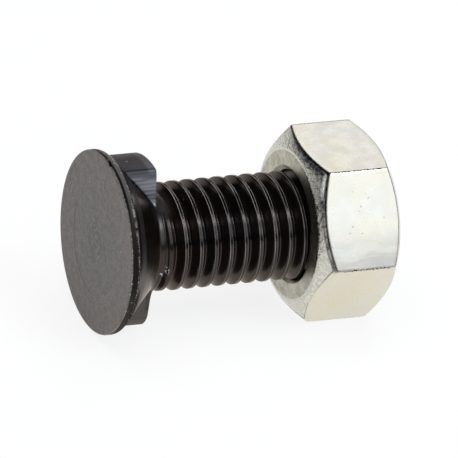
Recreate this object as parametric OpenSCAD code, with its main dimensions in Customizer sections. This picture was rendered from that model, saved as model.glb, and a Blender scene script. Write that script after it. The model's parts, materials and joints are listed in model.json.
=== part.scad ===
// Plow bolt with two nibs under a flat countersunk head, and the plain hex nut run on near its end.
// Millimetres, +Z up, floor at Z = 0. The pair lies as it comes to rest, on the rim of the head and
// on one flat of the nut, with +X along the bolt from its head to its end.

/* [Head] */
// Diameter of the flat head over its rim
head_d = 20.1; // [19.4:0.1:23]
// Height of the rim up to the sharp corner where the cone would start
rim_h = 0.85; // [0.6:0.05:1.4]
// Included angle of the countersunk cone
seat_angle = 90; // [82:1:98]
// Radius that rounds the rim into the cone
rim_round = 0.6; // [0.2:0.05:0.9]
// Bevel on the front edge of the rim
face_bevel = 0.15; // [0.05:0.05:0.3]

/* [Nibs] */
// Distance from the axis to the outer face of a nib
nib_reach = 9.3; // [8:0.05:9.7]
// Width of a nib across its two flanks
nib_w = 5.8; // [4:0.1:7]
// How far a nib runs on past the end of the cone
nib_past_cone = 0.35; // [0:0.05:0.5]
// Radius on the rear outer edge of a nib
nib_rear_round = 0.6; // [0.3:0.05:1.5]
// Length along the flank of the bevel between flank and outer face
nib_bevel = 0.7; // [0.1:0.1:0.8]
// Radius of the hollow in which a flank sweeps into the neck
nib_hollow = 1.5; // [1:0.1:2]
// Turn of the nibs about the axis, away from upright
nib_turn = 10; // [-30:1:30]

/* [Thread] */
// Length of the bolt from the flat of the head to its end
bolt_len = 33; // [32.5:0.5:60]
// Diameter over the crests of the thread
thread_d = 11.85; // [11.7:0.05:12]
// Pitch of the thread
pitch = 1.75; // [1.25:0.25:2]
// Turn of the thread about the axis
thread_turn = 250; // [0:5:355]
// Diameter of the short round neck between cone and thread
neck_d = 11.7; // [11.2:0.1:11.8]
// Length of the neck
neck_len = 0.6; // [0.6:0.1:2]
// Radius of the hollow where the cone runs into the neck
neck_fillet = 0.4; // [0.3:0.1:1]
// Bevel on the end of the bolt
end_bevel = 1; // [0.5:0.1:1.5]

/* [Nut] */
// Width of the nut across its flats
nut_af = 18.7; // [17:0.1:19.3]
// Height of the nut
nut_h = 9.7; // [8:0.1:10.5]
// Distance from the flat of the head to the bearing face of the nut
nut_at = 22.46; // [12:0.01:22.8]
// Diameter of the bearing face that the corner bevel leaves
bearing_d = 16.8; // [15.5:0.1:17]
// Slope of the corner bevel
bevel_slope = 30; // [15:1:30]
// Diameter of the countersunk mouths of the hole
mouth_d = 13; // [12.5:0.1:13.6]
// Radial running gap between the hole and the crests of the thread
running_gap = 0.08; // [0.04:0.01:0.1]

/* [Hidden] */
round_sides = 96;
head_r = head_d / 2;
neck_r = neck_d / 2;
thread_r = thread_d / 2;
bearing_r = bearing_d / 2;
seat_half = seat_angle / 2;

// Head and neck heights, from the flat of the head along the axis
rim_tangent = rim_round * tan(seat_half / 2);
rim_top = rim_h - rim_tangent;
cone_end = rim_h + (head_r - neck_r) / tan(seat_half);
neck_end = cone_end + neck_len;
fillet_tangent = neck_fillet * tan(seat_half / 2);
fillet_steps = 4;
nib_end = cone_end + nib_past_cone;
nib_start = rim_h / 2;
nib_bury = 0.2;
bury_turn = 2;
hollow_steps = 4;

// Thread form: 60 degree flanks with a flat crest and a narrow flat root
thread_sides = 36;
root_r = thread_r - 0.6134 * pitch;
flank_run = (thread_r - root_r) * tan(30);
crest_flat = pitch / 8;
form_z = [0, flank_run, flank_run + crest_flat, 2 * flank_run + crest_flat];
form_r = [root_r, thread_r, thread_r, root_r];
form_n = len(form_z);
thread_low = neck_end - 2 * pitch;
thread_rows = form_n * ceil((bolt_len - thread_low) / pitch + 2);
thread_bury = 0.1;
lead_in_slope = tan(6);
neck_drop = 2.5;
end_r = thread_r - end_bevel;

// Nut sizes
nut_e = nut_af / cos(30);
bore_r = thread_r + running_gap;
mouth_r = mouth_d / 2;
flat_bevel_h = (nut_af / 2 - bearing_r) * tan(bevel_slope);
clear = 1;

// Rest: the rim of the head and the far end of the nut's lower flat touch the floor
nut_foot = nut_at + nut_h - flat_bevel_h;
tilt = atan((head_r - nut_af / 2) / (nut_foot - rim_top));
lift = head_r * cos(tilt) + rim_top * sin(tilt);
x_low = -(head_r - face_bevel) * sin(tilt);
x_high = bolt_len * cos(tilt) + end_r * sin(tilt);

// Places a piece drawn upright on its head, with X pointing to the floor once it lies down
module at_rest() {
    translate([-(x_low + x_high) / 2, 0, lift])
        rotate([0, 90 + tilt, 0])
            children();
}

// Half section of head, cone, neck and the cone where the thread runs out
module head_section() {
    fillet_centre = [neck_r + neck_fillet, cone_end + fillet_tangent];
    polygon([
        [0, 0],
        [head_r - face_bevel, 0],
        [head_r, face_bevel],
        [head_r, rim_top],
        [head_r - rim_tangent * sin(seat_half), rim_h + rim_tangent * cos(seat_half)],
        for (angle = [180 + seat_half:-seat_half / fillet_steps:180])
            fillet_centre + neck_fillet * [cos(angle), sin(angle)],
        [neck_r, neck_end],
        [root_r, neck_end + (neck_r - root_r) / neck_drop],
        [0, neck_end + (neck_r - root_r) / neck_drop],
    ]);
    translate([head_r - rim_round, rim_top])
        circle(r = rim_round, $fn = round_sides);
}

// One corner of the nibs seen along the axis, from the bevel on the outer face to the neck
function nib_corner() =
    let (flank = nib_w / 2)
    let (shoulder = sqrt(pow(nib_reach, 2) - pow(flank, 2)) - nib_bevel)
    let (hollow_y = flank + nib_hollow)
    let (hollow_x = sqrt(pow(neck_r + nib_hollow, 2) - pow(hollow_y, 2)))
    let (foot = atan2(hollow_y, hollow_x))
    let (step = (90 - foot) / hollow_steps)
    concat(
        [[shoulder, flank]],
        [
            for (k = [0:hollow_steps - 1])
                [hollow_x, hollow_y] + nib_hollow * [cos(270 - k * step), sin(270 - k * step)]
        ],
        [(neck_r - nib_bury) * [cos(foot + bury_turn), sin(foot + bury_turn)]]
    );

function flipped(points) = [for (k = [len(points) - 1:-1:0]) points[k]];

// Both nibs seen along the axis: pointed ends, whose slopes bevel the corners, and hollows at the neck
module nib_plan() {
    corner = nib_corner();
    tip = corner[0].x + nib_w / 2;
    polygon(concat(
        [[tip, 0]],
        corner,
        [for (p = flipped(corner)) [-p.x, p.y]],
        [[-tip, 0]],
        [for (p = corner) [-p.x, -p.y]],
        [for (p = flipped(corner)) [p.x, -p.y]]
    ));
}

// Half section of the nibs: their outer face and its rounded rear edge
module nib_section() {
    translate([0, nib_start])
        square([nib_reach, nib_end - nib_rear_round - nib_start]);
    translate([0, nib_start])
        square([nib_reach - nib_rear_round, nib_end - nib_start]);
    translate([nib_reach - nib_rear_round, nib_end - nib_rear_round])
        circle(r = nib_rear_round, $fn = round_sides);
}

module nibs() {
    intersection() {
        rotate([0, 0, -nib_turn])
            linear_extrude(height = nib_end + clear)
                nib_plan();
        rotate_extrude($fn = round_sides)
            nib_section();
    }
}

// Largest radius of the thread at a height, so that it grows out of the neck
function lead_in(z) = neck_r - thread_bury + max(0, z - neck_end) * lead_in_slope;

// Point of the thread: rows climb the form, columns go round and rise by one pitch a turn
function thread_point(row, column) =
    let (angle = thread_turn + 360 * column / thread_sides)
    let (rise = pitch * (floor(row / form_n) + column / thread_sides))
    let (z = thread_low + rise + form_z[row % form_n])
    let (r = min(form_r[row % form_n], lead_in(z)))
    [r * cos(angle), r * sin(angle), z];

function thread_index(row, column) = row * thread_sides + column;

// Two triangles between a point of one column and the next point of the next column
function thread_patch(a, b, c, d) = [[a, b, c], [a, c, d]];

module thread() {
    last_row = thread_rows - 1;
    last_column = thread_sides - 1;
    ring = [for (row = [0:last_row], column = [0:last_column]) thread_point(row, column)];
    low_centre = len(ring);
    high_centre = low_centre + 1;
    ends = [[0, 0, thread_low], [0, 0, thread_low + pitch * (thread_rows / form_n + 1)]];
    wall = [
        for (row = [0:last_row - 1], column = [0:last_column - 1])
            each thread_patch(
                thread_index(row, column),
                thread_index(row + 1, column),
                thread_index(row + 1, column + 1),
                thread_index(row, column + 1)
            )
    ];
    seam = [
        for (row = [0:last_row - form_n - 1])
            each thread_patch(
                thread_index(row, last_column),
                thread_index(row + 1, last_column),
                thread_index(row + form_n + 1, 0),
                thread_index(row + form_n, 0)
            )
    ];
    low_loop = concat(
        [for (column = [0:last_column]) thread_index(0, column)],
        [for (row = [form_n:-1:1]) thread_index(row, 0)]
    );
    high_loop = concat(
        [for (column = [0:last_column]) thread_index(last_row, column)],
        [for (row = [1:form_n]) thread_index(last_row - row, last_column)]
    );
    low_cap = [
        for (k = [0:len(low_loop) - 1])
            [low_centre, low_loop[k], low_loop[(k + 1) % len(low_loop)]]
    ];
    high_cap = [
        for (k = [0:len(high_loop) - 1])
            [high_centre, high_loop[(k + 1) % len(high_loop)], high_loop[k]]
    ];
    polyhedron(points = concat(ring, ends), faces = concat(wall, seam, low_cap, high_cap));
}

// Space that the thread may fill, with the bevel on the end of the bolt
module thread_limit() {
    rotate_extrude($fn = round_sides)
        polygon([
            [0, 0],
            [thread_r + clear, 0],
            [thread_r + clear, bolt_len - end_bevel - clear],
            [end_r, bolt_len],
            [0, bolt_len],
        ]);
}

module plow_bolt() {
    color([0.15, 0.15, 0.15])
        at_rest() {
            rotate_extrude($fn = round_sides)
                head_section();
            nibs();
            intersection() {
                thread();
                thread_limit();
            }
        }
}

// Half section that bevels the corners of the nut at both ends
module nut_section() {
    reach = nut_e / 2 + clear;
    bevel_h = (reach - bearing_r) * tan(bevel_slope);
    polygon([
        [0, 0],
        [bearing_r, 0],
        [reach, bevel_h],
        [reach, nut_h - bevel_h],
        [bearing_r, nut_h],
        [0, nut_h],
    ]);
}

// Half section of the hole with a 90 degree countersink at each mouth
module hole_section() {
    sink_h = mouth_r - bore_r;
    polygon([
        [0, -clear],
        [mouth_r + clear, -clear],
        [bore_r, sink_h],
        [bore_r, nut_h - sink_h],
        [mouth_r + clear, nut_h + clear],
        [0, nut_h + clear],
    ]);
}

module hex_nut() {
    color([0.78, 0.77, 0.72])
        at_rest()
            translate([0, 0, nut_at])
                difference() {
                    intersection() {
                        rotate([0, 0, 30])
                            cylinder(d = nut_e, h = nut_h, $fn = 6);
                        rotate_extrude($fn = round_sides)
                            nut_section();
                    }
                    rotate_extrude($fn = round_sides)
                        hole_section();
                }
}

plow_bolt();
hex_nut();
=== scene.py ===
"""Looks of a black plow bolt and its bright hex nut, lying on a white table."""

import json
import logging
import math
from collections.abc import Sequence
from dataclasses import astuple, dataclass
from enum import Enum

import bpy
import numpy as np
from mathutils import Matrix, Vector


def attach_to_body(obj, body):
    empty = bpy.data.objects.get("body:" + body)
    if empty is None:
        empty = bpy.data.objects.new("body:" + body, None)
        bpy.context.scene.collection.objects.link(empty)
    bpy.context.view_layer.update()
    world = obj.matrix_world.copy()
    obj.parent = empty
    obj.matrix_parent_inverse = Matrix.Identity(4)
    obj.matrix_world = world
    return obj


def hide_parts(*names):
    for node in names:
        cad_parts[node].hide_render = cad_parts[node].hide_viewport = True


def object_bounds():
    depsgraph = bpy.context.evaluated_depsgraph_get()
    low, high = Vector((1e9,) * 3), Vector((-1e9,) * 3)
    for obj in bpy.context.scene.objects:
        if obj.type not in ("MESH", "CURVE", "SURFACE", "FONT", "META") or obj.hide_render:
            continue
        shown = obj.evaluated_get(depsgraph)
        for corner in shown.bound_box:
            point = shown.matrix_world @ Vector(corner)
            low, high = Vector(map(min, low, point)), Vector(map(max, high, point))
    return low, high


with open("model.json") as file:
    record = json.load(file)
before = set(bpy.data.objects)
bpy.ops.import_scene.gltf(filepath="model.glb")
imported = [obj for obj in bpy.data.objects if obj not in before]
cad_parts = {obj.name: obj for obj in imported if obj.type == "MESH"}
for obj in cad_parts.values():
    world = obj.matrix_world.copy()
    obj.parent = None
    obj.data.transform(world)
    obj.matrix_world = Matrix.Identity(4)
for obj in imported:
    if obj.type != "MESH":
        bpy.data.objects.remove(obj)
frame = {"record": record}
cad_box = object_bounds()

LOG = logging.getLogger("plow_bolt")
MM = 0.001
FULL_TURN = 360.0
POSITION = "own_mm"
EDGE = "edge"
ZONE = "zone"

Colour = tuple[float, float, float]
Point = tuple[float, float, float]
Span = tuple[float, float]
Faces = list[tuple[int, ...]]
Socket = bpy.types.NodeSocket
Value = Socket | float


class Body(Enum):
    """Bodies that move on their own."""

    BOLT = "bolt"
    NUT = "nut"


class Slot(Enum):
    """Material slots of the part."""

    BLACK_STEEL = "black_steel"
    ZINC_PLATE = "zinc_plate"


class Effect(Enum):
    """Surface effects that are shared by the finishes."""

    GRAIN = "metal_grain"
    EDGE_WEAR = "edge_wear"
    SPECKS = "specks"
    RINGS = "turning_rings"
    STREAKS = "axial_streaks"


def soft_least(a: np.ndarray, b: np.ndarray, width: float) -> np.ndarray:
    """The lesser of two lengths, with their crossing rounded over a width.

    Args:
        a: First length.
        b: Second length.
        width: Difference of the two below which the crossing is rounded.

    Returns:
        The rounded lesser length.
    """
    near = np.clip(width - np.abs(a - b), 0.0, None) / width
    return np.minimum(a, b) - near**2 * width / 4


def soft_most(a: np.ndarray, b: np.ndarray, width: float) -> np.ndarray:
    """The greater of two lengths, rounded where they cross."""
    return -soft_least(-a, -b, width)


def within(value: np.ndarray) -> np.ndarray:
    """A value held between 0 and 1."""
    return np.clip(value, 0.0, 1.0)


def unit(steps: np.ndarray) -> np.ndarray:
    """Steps of length one in the same directions."""
    return steps / np.linalg.norm(steps, axis=-1, keepdims=True)


def arc(centre: Span, radius: float, start: float, end: float, steps: int) -> np.ndarray:
    """Points of an arc in a half section.

    Args:
        centre: Radius and height of the centre, in mm.
        radius: Radius of the arc, in mm.
        start: First angle from the outward direction, in degrees.
        end: Last angle, in degrees.
        steps: Number of points.

    Returns:
        One row of radius and height for each point.
    """
    turn = np.radians(np.linspace(start, end, steps))
    return np.stack([centre[0] + radius * np.cos(turn), centre[1] + radius * np.sin(turn)], 1)


def swept(section: np.ndarray, angles: np.ndarray, start: float = 0.0) -> np.ndarray:
    """Turns a half section into points round the axis.

    Args:
        section: Radius and height of every row and column, in mm.
        angles: Column angles in radians.
        start: Height at which the section begins, in mm.

    Returns:
        Points as rows and columns.
    """
    radius, height = section[..., 0], section[..., 1]
    return np.stack([radius * np.cos(angles), radius * np.sin(angles), height + start], -1)


def pairs(ring: Sequence) -> list[tuple]:
    """Each item of a ring with the one after it."""
    return list(zip(ring, [*ring[1:], ring[0]]))


def strip(low: Sequence[int], high: Sequence[int]) -> Faces:
    """Four-sided faces between two rings of points."""
    return [(a, b, d, c) for (a, b), (c, d) in zip(pairs(low), pairs(high))]


def zip_chains(left: dict[int, int], right: dict[int, int]) -> Faces:
    """Faces between two columns of points whose rows share keys.

    Args:
        left: Points of one column by row key, in order.
        right: Points of the next column by row key, in order.

    Returns:
        Faces that fill the strip, with rows that only one column has joined in.
    """
    faces: Faces = []
    rungs = sorted(set(left) & set(right))
    for low, high in zip(rungs[:-1], rungs[1:]):
        extra_right = [right[key] for key in sorted(right) if low < key < high] if high - low > 1 else []
        extra_left = [left[key] for key in sorted(left) if low < key < high] if high - low > 1 else []
        faces.append((left[low], right[low], *extra_right, right[high], left[high], *extra_left[::-1]))
    return faces


@dataclass(frozen=True)
class RestFrame:
    """Where the bolt lies: the centre of its flat head face and the way it points."""

    head_face: Vector
    along: Vector

    @classmethod
    def from_record(cls, record: dict) -> "RestFrame":
        """Reads the place from the mount on the flat of the head.

        Args:
            record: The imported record.

        Returns:
            The frame of the bolt at rest.
        """
        flat = next(mount for mount in record["mounts"] if mount["name"] == "head_flat")
        return cls(Vector(flat["pos_m"]), -Vector(flat["axis"]))

    def matrix(self) -> Matrix:
        """Matrix from own millimetres, head face at zero and end along Z, to metres at rest.

        Returns:
            The matrix.
        """
        side = Vector((0.0, 1.0, 0.0))
        down = side.cross(self.along)
        turn = Matrix((down, side, self.along)).transposed().to_4x4()
        return Matrix.Translation(self.head_face) @ turn @ Matrix.Scale(MM, 4)


@dataclass
class Skin:
    """A closed surface in own millimetres, with two marks on each point: on an edge, and in a zone."""

    points: np.ndarray
    edge: np.ndarray
    zone: np.ndarray
    faces: Faces

    def to_object(self, name: str, place: Matrix) -> bpy.types.Object:
        """Makes the mesh at its place of rest.

        Args:
            name: Name of the piece.
            place: Matrix from own millimetres to metres at rest.

        Returns:
            The new object, with its own position and its marks kept as attributes.
        """
        mesh = bpy.data.meshes.new(name)
        turn = np.array(place)
        placed = self.points @ turn[:3, :3].T + turn[:3, 3]
        mesh.from_pydata(placed.tolist(), [], self.faces)
        own = mesh.attributes.new(POSITION, "FLOAT_VECTOR", "POINT")
        own.data.foreach_set("vector", self.points.astype(np.float32).ravel())
        for mark_name, mark in ((EDGE, self.edge), (ZONE, self.zone)):
            kept = mesh.attributes.new(mark_name, "FLOAT", "POINT")
            kept.data.foreach_set("value", mark.astype(np.float32))
        mesh.shade_smooth()
        mesh.validate()
        piece = bpy.data.objects.new(name, mesh)
        bpy.context.scene.collection.objects.link(piece)
        return piece


@dataclass(frozen=True)
class Nick:
    """A small dent on the rim of the head: its angle, its height and how wide and deep it is."""

    angle: float
    height: float
    width: float
    depth: float


@dataclass(frozen=True)
class NibEnd:
    """Rear end of a nib: where its outer corner lies, how its face leans and how round its edge is."""

    height: float
    lean: float
    edge: float


@dataclass
class PlowBolt:
    """The forged bolt: flat head, cone, two nibs, short neck and rolled thread, in mm and degrees."""

    head_d: float = 20.1
    rim_h: float = 0.85
    seat_half: float = 45.0
    rim_round: float = 0.6
    face_bevel: float = 0.15
    face_dish: float = 0.05
    dish_power: int = 4
    nib_reach: float = 9.3
    nib_w: float = 5.8
    nib_turn: float = 10.0
    nib_corner: float = 1.0
    nib_base: float = 1.4
    nib_hollow: float = 0.15
    nib_rear_edge: float = 0.3
    upper_nib: NibEnd = NibEnd(5.4, 0.03, 0.5)
    lower_nib: NibEnd = NibEnd(5.25, 0.1, 1.8)
    bolt_len: float = 32.995
    thread_d: float = 11.85
    pitch: float = 1.75
    thread_turn: float = 250.0
    thread_flank: float = 30.0
    depth_of_pitch: float = 0.6134
    crest_of_pitch: float = 0.125
    crest_w: float = 0.34
    crest_seam: float = 0.035
    crest_round: float = 0.07
    root_round: float = 0.4
    lead_round: float = 0.1
    lead_turns: int = 2
    neck_d: float = 11.7
    neck_len: float = 0.6
    neck_fillet: float = 0.4
    neck_drop: float = 2.5
    neck_round: float = 0.08
    run_out_depth: float = 0.1
    run_out_slope: float = 6.0
    end_bevel: float = 1.0
    pivot: Span = (4.2, 2.6)
    # Painted highlight on the rear rounding of the rim: its strength, its angle round the axis and its
    # spread.
    rim_highlight: float = 1.0
    rim_highlight_at: float = 227.0
    rim_highlight_spread: float = 13.0
    # Share of scraped colour on the lower nib flank, kept low as a painted shade of the lower side.
    lower_flank_dimming: float = 0.16
    flank_fade: float = 0.5
    face_edge_wear: tuple[float, ...] = (0.35, 0.8, 1.0, 1.0, 0.8, 0.4)
    crest_wear: float = 0.3
    row_wear: tuple[float, ...] = (0.7, 1.0, 0.7, 0.15, 0.0, 0.0, 0.0)
    end_wear: float = 0.5
    columns: int = 240
    flank_middle: float = 26.0
    flank_spread: float = 10.0
    flank_boost: float = 2.2
    face_rows: int = 24
    face_crowding: float = 0.8
    wall_rows: int = 6
    rim_rows: int = 9
    cone_points: int = 60
    hollow_points: int = 16
    spoke_rows: int = 110
    crest_shares: Span = (0.65, 0.9)
    lip_gaps: Span = (0.04, 0.12)
    flank_rows: tuple[float, ...] = (0.5, 0.68, 0.79)
    cap_shares: tuple[float, ...] = (0.9, 0.65, 0.35)
    nicks: tuple[Nick, ...] = (
        Nick(183.2, 0.05, 0.35, 0.28),
        Nick(210.0, 0.05, 0.25, 0.10),
        Nick(214.5, 0.10, 0.20, 0.08),
        Nick(230.0, 0.95, 0.25, 0.08),
    )

    @property
    def head_r(self) -> float:
        """Radius of the head over its rim."""
        return self.head_d / 2

    @property
    def neck_r(self) -> float:
        """Radius of the neck."""
        return self.neck_d / 2

    @property
    def thread_r(self) -> float:
        """Radius over the crests."""
        return self.thread_d / 2

    @property
    def root_r(self) -> float:
        """Radius at the root of the thread."""
        return self.thread_r - self.depth_of_pitch * self.pitch

    @property
    def end_r(self) -> float:
        """Radius of the flat end."""
        return self.thread_r - self.end_bevel

    @property
    def flank_slope(self) -> float:
        """Run along the axis for each mm that a flank of the thread drops."""
        return math.tan(math.radians(self.thread_flank))

    @property
    def cone_end(self) -> float:
        """Height at which the cone would meet the neck."""
        return self.rim_h + (self.head_r - self.neck_r) / math.tan(math.radians(self.seat_half))

    @property
    def neck_end(self) -> float:
        """Height at which the thread starts to cut into the neck."""
        return self.cone_end + self.neck_len

    def column_angles(self) -> np.ndarray:
        """Angles of the columns round the axis, closer together on the flanks of the nibs.

        Returns:
            Angles in radians, rising from the start of the thread through one turn.
        """
        fine = np.linspace(0.0, FULL_TURN, 3601) + self.thread_turn
        from_nib = np.abs((fine + self.nib_turn + 90.0) % 180.0 - 90.0)
        off_flank = (from_nib - self.flank_middle) / self.flank_spread
        density = 1.0 + self.flank_boost * np.exp(-(off_flank**2))
        share = np.concatenate([[0.0], np.cumsum((density[1:] + density[:-1]) / 2)])
        wanted = np.linspace(0.0, share[-1], self.columns, endpoint=False)
        return np.radians(np.interp(wanted, share, fine))

    def reach_of(self, outline: np.ndarray, angles: np.ndarray) -> np.ndarray:
        """Distance from the pivot of the section to an outline along given directions.

        Args:
            outline: Points of the outline, turning one way round the pivot.
            angles: Directions in the section, in radians.

        Returns:
            One distance for each direction.
        """
        spokes = outline - np.array(self.pivot)
        turned = np.arctan2(spokes[:, 1], spokes[:, 0])
        return np.interp(angles, turned, np.hypot(spokes[:, 0], spokes[:, 1]))

    def cone_outline(self) -> np.ndarray:
        """Half section from the end of the rim, down the cone and its hollow to the neck.

        Returns:
            One row of radius and height for each point.
        """
        half = math.radians(self.seat_half)
        tangent = self.rim_round * math.tan(half / 2)
        start = np.array([self.head_r - tangent * math.sin(half), self.rim_h + tangent * math.cos(half)])
        centre = (self.neck_r + self.neck_fillet, self.cone_end + self.neck_fillet * math.tan(half / 2))
        hollow = arc(centre, self.neck_fillet, 180.0 + self.seat_half, 180.0, self.hollow_points)
        shares = np.linspace(0.0, 1.0, self.cone_points, endpoint=False)[:, None]
        neck = np.array([[self.neck_r, self.neck_end]])
        return np.concatenate([start + shares * (hollow[0] - start), hollow, neck])

    def nib_flank(self, angles: np.ndarray) -> np.ndarray:
        """Radius at which each column meets the flank planes of the nibs.

        Args:
            angles: Column angles in radians.

        Returns:
            One radius for each column, never past a far limit.
        """
        least, far = 1e-4, 4 * self.nib_reach
        across = np.maximum(np.abs(np.sin(angles + math.radians(self.nib_turn))), least)
        return np.minimum(self.nib_w / 2 / across, far)

    def nib_plan(self, angles: np.ndarray) -> np.ndarray:
        """Radius of the nibs seen along the axis: rounded corners, straight flanks, hollows at the neck.

        Args:
            angles: Column angles in radians.

        Returns:
            One radius for each column.
        """
        flank = self.nib_flank(angles)
        ends = soft_least(flank, np.full_like(flank, self.nib_reach), self.nib_corner)
        return soft_most(ends, np.full_like(ends, self.neck_r), self.nib_base)

    def cone_rows(self, angles: np.ndarray) -> tuple[np.ndarray, np.ndarray, np.ndarray]:
        """Rows of the cone with both nibs, as spokes from a pivot ring inside the head.

        Args:
            angles: Column angles in radians.

        Returns:
            Radius and height of every point, its edge mark, and a mark on the flanks of the nibs.
        """
        pivot_r, pivot_z = self.pivot
        outline = self.cone_outline()
        first, last = (math.atan2(spot[1] - pivot_z, spot[0] - pivot_r) for spot in outline[[0, -1]])
        spokes = np.linspace(first, last, self.spoke_rows)[1:, None]
        cone = np.repeat(self.reach_of(outline, spokes[:, 0])[:, None], len(angles), 1)
        plan = self.nib_plan(angles)
        lower = np.cos(angles + math.radians(self.nib_turn)) > 0.0
        ends = zip(astuple(self.lower_nib), astuple(self.upper_nib))
        end, lean, edge = (np.where(lower, low, high) for low, high in ends)
        rise = end - pivot_z + lean * (self.nib_reach - pivot_r)
        flattest = 0.05
        rear = rise / np.maximum(np.sin(spokes) + lean * np.cos(spokes), flattest)
        outer = (self.nib_reach + self.nib_rear_edge - pivot_r) / np.cos(spokes)
        section = soft_least(outer, rear, edge)
        side = (plan - pivot_r) / np.cos(spokes)
        nib = soft_least(section, side, self.nib_rear_edge)
        reach = soft_most(cone, nib, self.nib_hollow)
        raised = within((nib - cone) / self.nib_hollow)
        proud = raised * within(plan - self.neck_r)
        corner = within(1.0 - np.abs(side - section) / self.nib_rear_edge) * proud
        on_flank = within((self.nib_reach - self.nib_flank(angles)) / self.flank_fade)
        # The lower nib flank takes less scraped colour, a painted shade of the lower side.
        flank = on_flank * raised * np.where(lower, self.lower_flank_dimming, 1.0)
        radius = pivot_r + reach * np.cos(spokes)
        height = pivot_z + reach * np.sin(spokes)
        return np.stack([radius, height], -1), corner, flank

    def rim_outline(self) -> tuple[np.ndarray, np.ndarray]:
        """Half section of the flat face and the rim.

        Returns:
            One row of radius and height for each point, and the edge mark of each.
        """
        inner = self.head_r - self.face_bevel
        rim_top = self.rim_h - self.rim_round * math.tan(math.radians(self.seat_half) / 2)
        flat = inner * np.linspace(0.0, 1.0, self.face_rows)[1:-1] ** self.face_crowding
        face = np.stack([flat, self.face_dish * (1.0 - (flat / self.head_r) ** self.dish_power)], 1)
        bevel = arc((inner, self.face_bevel), self.face_bevel, -90.0, 0.0, len(self.face_edge_wear))
        wall_z = np.linspace(self.face_bevel, rim_top, self.wall_rows)[1:-1]
        wall = np.stack([np.full_like(wall_z, self.head_r), wall_z], 1)
        turn_centre = (self.head_r - self.rim_round, rim_top)
        turn = arc(turn_centre, self.rim_round, 0.0, 90.0 - self.seat_half, self.rim_rows)
        inset = 0.15
        turn_wear = np.sin(np.linspace(inset, math.pi - inset, len(turn)))
        marks = [np.zeros(len(face)), np.array(self.face_edge_wear), np.zeros(len(wall)), turn_wear]
        return np.concatenate([face, bevel, wall, turn]), np.concatenate(marks)

    def dent(self, points: np.ndarray) -> np.ndarray:
        """Pushes the nicks into the rim.

        Args:
            points: Rows and columns of points on the head.

        Returns:
            The same points with the nicks pressed in.
        """
        inside = np.array([0.0, 0.0, self.pivot[1]])
        pressed = points.copy()
        for nick in self.nicks:
            turn = math.radians(nick.angle)
            spot = np.array([self.head_r * math.cos(turn), self.head_r * math.sin(turn), nick.height])
            gap = np.linalg.norm(points - spot, axis=-1)
            push = nick.depth * np.exp(-((gap / nick.width) ** 2))
            pressed += push[..., None] * unit(inside - spot)
        return pressed

    def head_grid(self, angles: np.ndarray) -> tuple[np.ndarray, np.ndarray, np.ndarray]:
        """All rows from the centre of the face to the end of the neck.

        Args:
            angles: Column angles in radians.

        Returns:
            Points as rows and columns, their edge marks, and their marks for the painted highlight on the
            rim and for the nib flanks.
        """
        rim, rim_marks = self.rim_outline()
        cone, cone_marks, flank_marks = self.cone_rows(angles)
        section = np.concatenate([np.repeat(rim[:, None, :], len(angles), 1), cone])
        marks = np.concatenate([np.repeat(rim_marks[:, None], len(angles), 1), cone_marks])
        # Painted highlight: a bright line on the rear rounding of the rim, centred on one angle.
        off_highlight = np.degrees(angles) % FULL_TURN - self.rim_highlight_at
        scrape_and_sheen = self.rim_highlight * np.exp(-((off_highlight / self.rim_highlight_spread) ** 2))
        rear_edge = (rim[:, 1] > self.rim_h / 2) * rim_marks
        zones = np.concatenate([rear_edge[:, None] * scrape_and_sheen, flank_marks])
        return self.dent(swept(section, angles)), marks, zones

    def crest_height(self, angles: np.ndarray) -> np.ndarray:
        """Height of one crest at each angle, one pitch higher after each turn.

        Args:
            angles: Angles round the axis in radians.

        Returns:
            Heights in mm.
        """
        flank_run = (self.thread_r - self.root_r) * self.flank_slope
        low = self.neck_end - self.lead_turns * self.pitch
        turns = (np.degrees(angles) - self.thread_turn) / FULL_TURN
        return low + flank_run + self.crest_of_pitch * self.pitch / 2 + self.pitch * turns

    def thread_form(self, off: np.ndarray) -> np.ndarray:
        """Radius of the thread at a distance from the middle of a crest.

        Args:
            off: Distance along the axis from the nearest crest, in mm.

        Returns:
            Radius in mm, with a rounded root and a shallow seam along the crest.
        """
        half_crest = self.crest_w / 2
        crest = self.thread_r - self.crest_seam * (1.0 - within(off / half_crest) ** 2) ** 2
        flank = self.thread_r - (off - half_crest) / self.flank_slope
        rooted = soft_most(flank, np.full_like(flank, self.root_r), self.root_round)
        return soft_least(rooted, crest, self.crest_round)

    def thread_radius(self, angles: np.ndarray, heights: np.ndarray) -> np.ndarray:
        """Radius of the shank at an angle and height, from the neck through the thread to the end.

        Args:
            angles: Angles round the axis in radians.
            heights: Heights from the flat of the head, in mm.

        Returns:
            Radius in mm.
        """
        off = (heights - self.crest_height(angles) + self.pitch / 2) % self.pitch - self.pitch / 2
        past_neck = np.clip(heights - self.neck_end, 0.0, None)
        grown = self.neck_r - self.run_out_depth + past_neck * math.tan(math.radians(self.run_out_slope))
        form = soft_least(self.thread_form(np.abs(off)), grown, self.lead_round)
        cut = soft_most(form, self.neck_r - self.neck_drop * past_neck, self.neck_round)
        bevel = self.end_r + (self.bolt_len - heights)
        return np.minimum(np.where(past_neck > 0.0, cut, self.neck_r), bevel)

    def crest_rows(self) -> tuple[np.ndarray, np.ndarray]:
        """Places of the rows across one pitch.

        Returns:
            Distances from the middle of the crest, in mm, and the edge mark of each row.
        """
        lip = self.crest_w / 2
        on_crest = [share * lip for share in self.crest_shares]
        side = np.array([*on_crest, *(lip + gap for gap in self.lip_gaps), *self.flank_rows])
        mark = np.array(self.row_wear)
        rows = np.concatenate([[-self.pitch / 2], -side[::-1], [0.0], side])
        return rows, np.concatenate([[0.0], mark[::-1], [self.crest_wear], mark])

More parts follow.
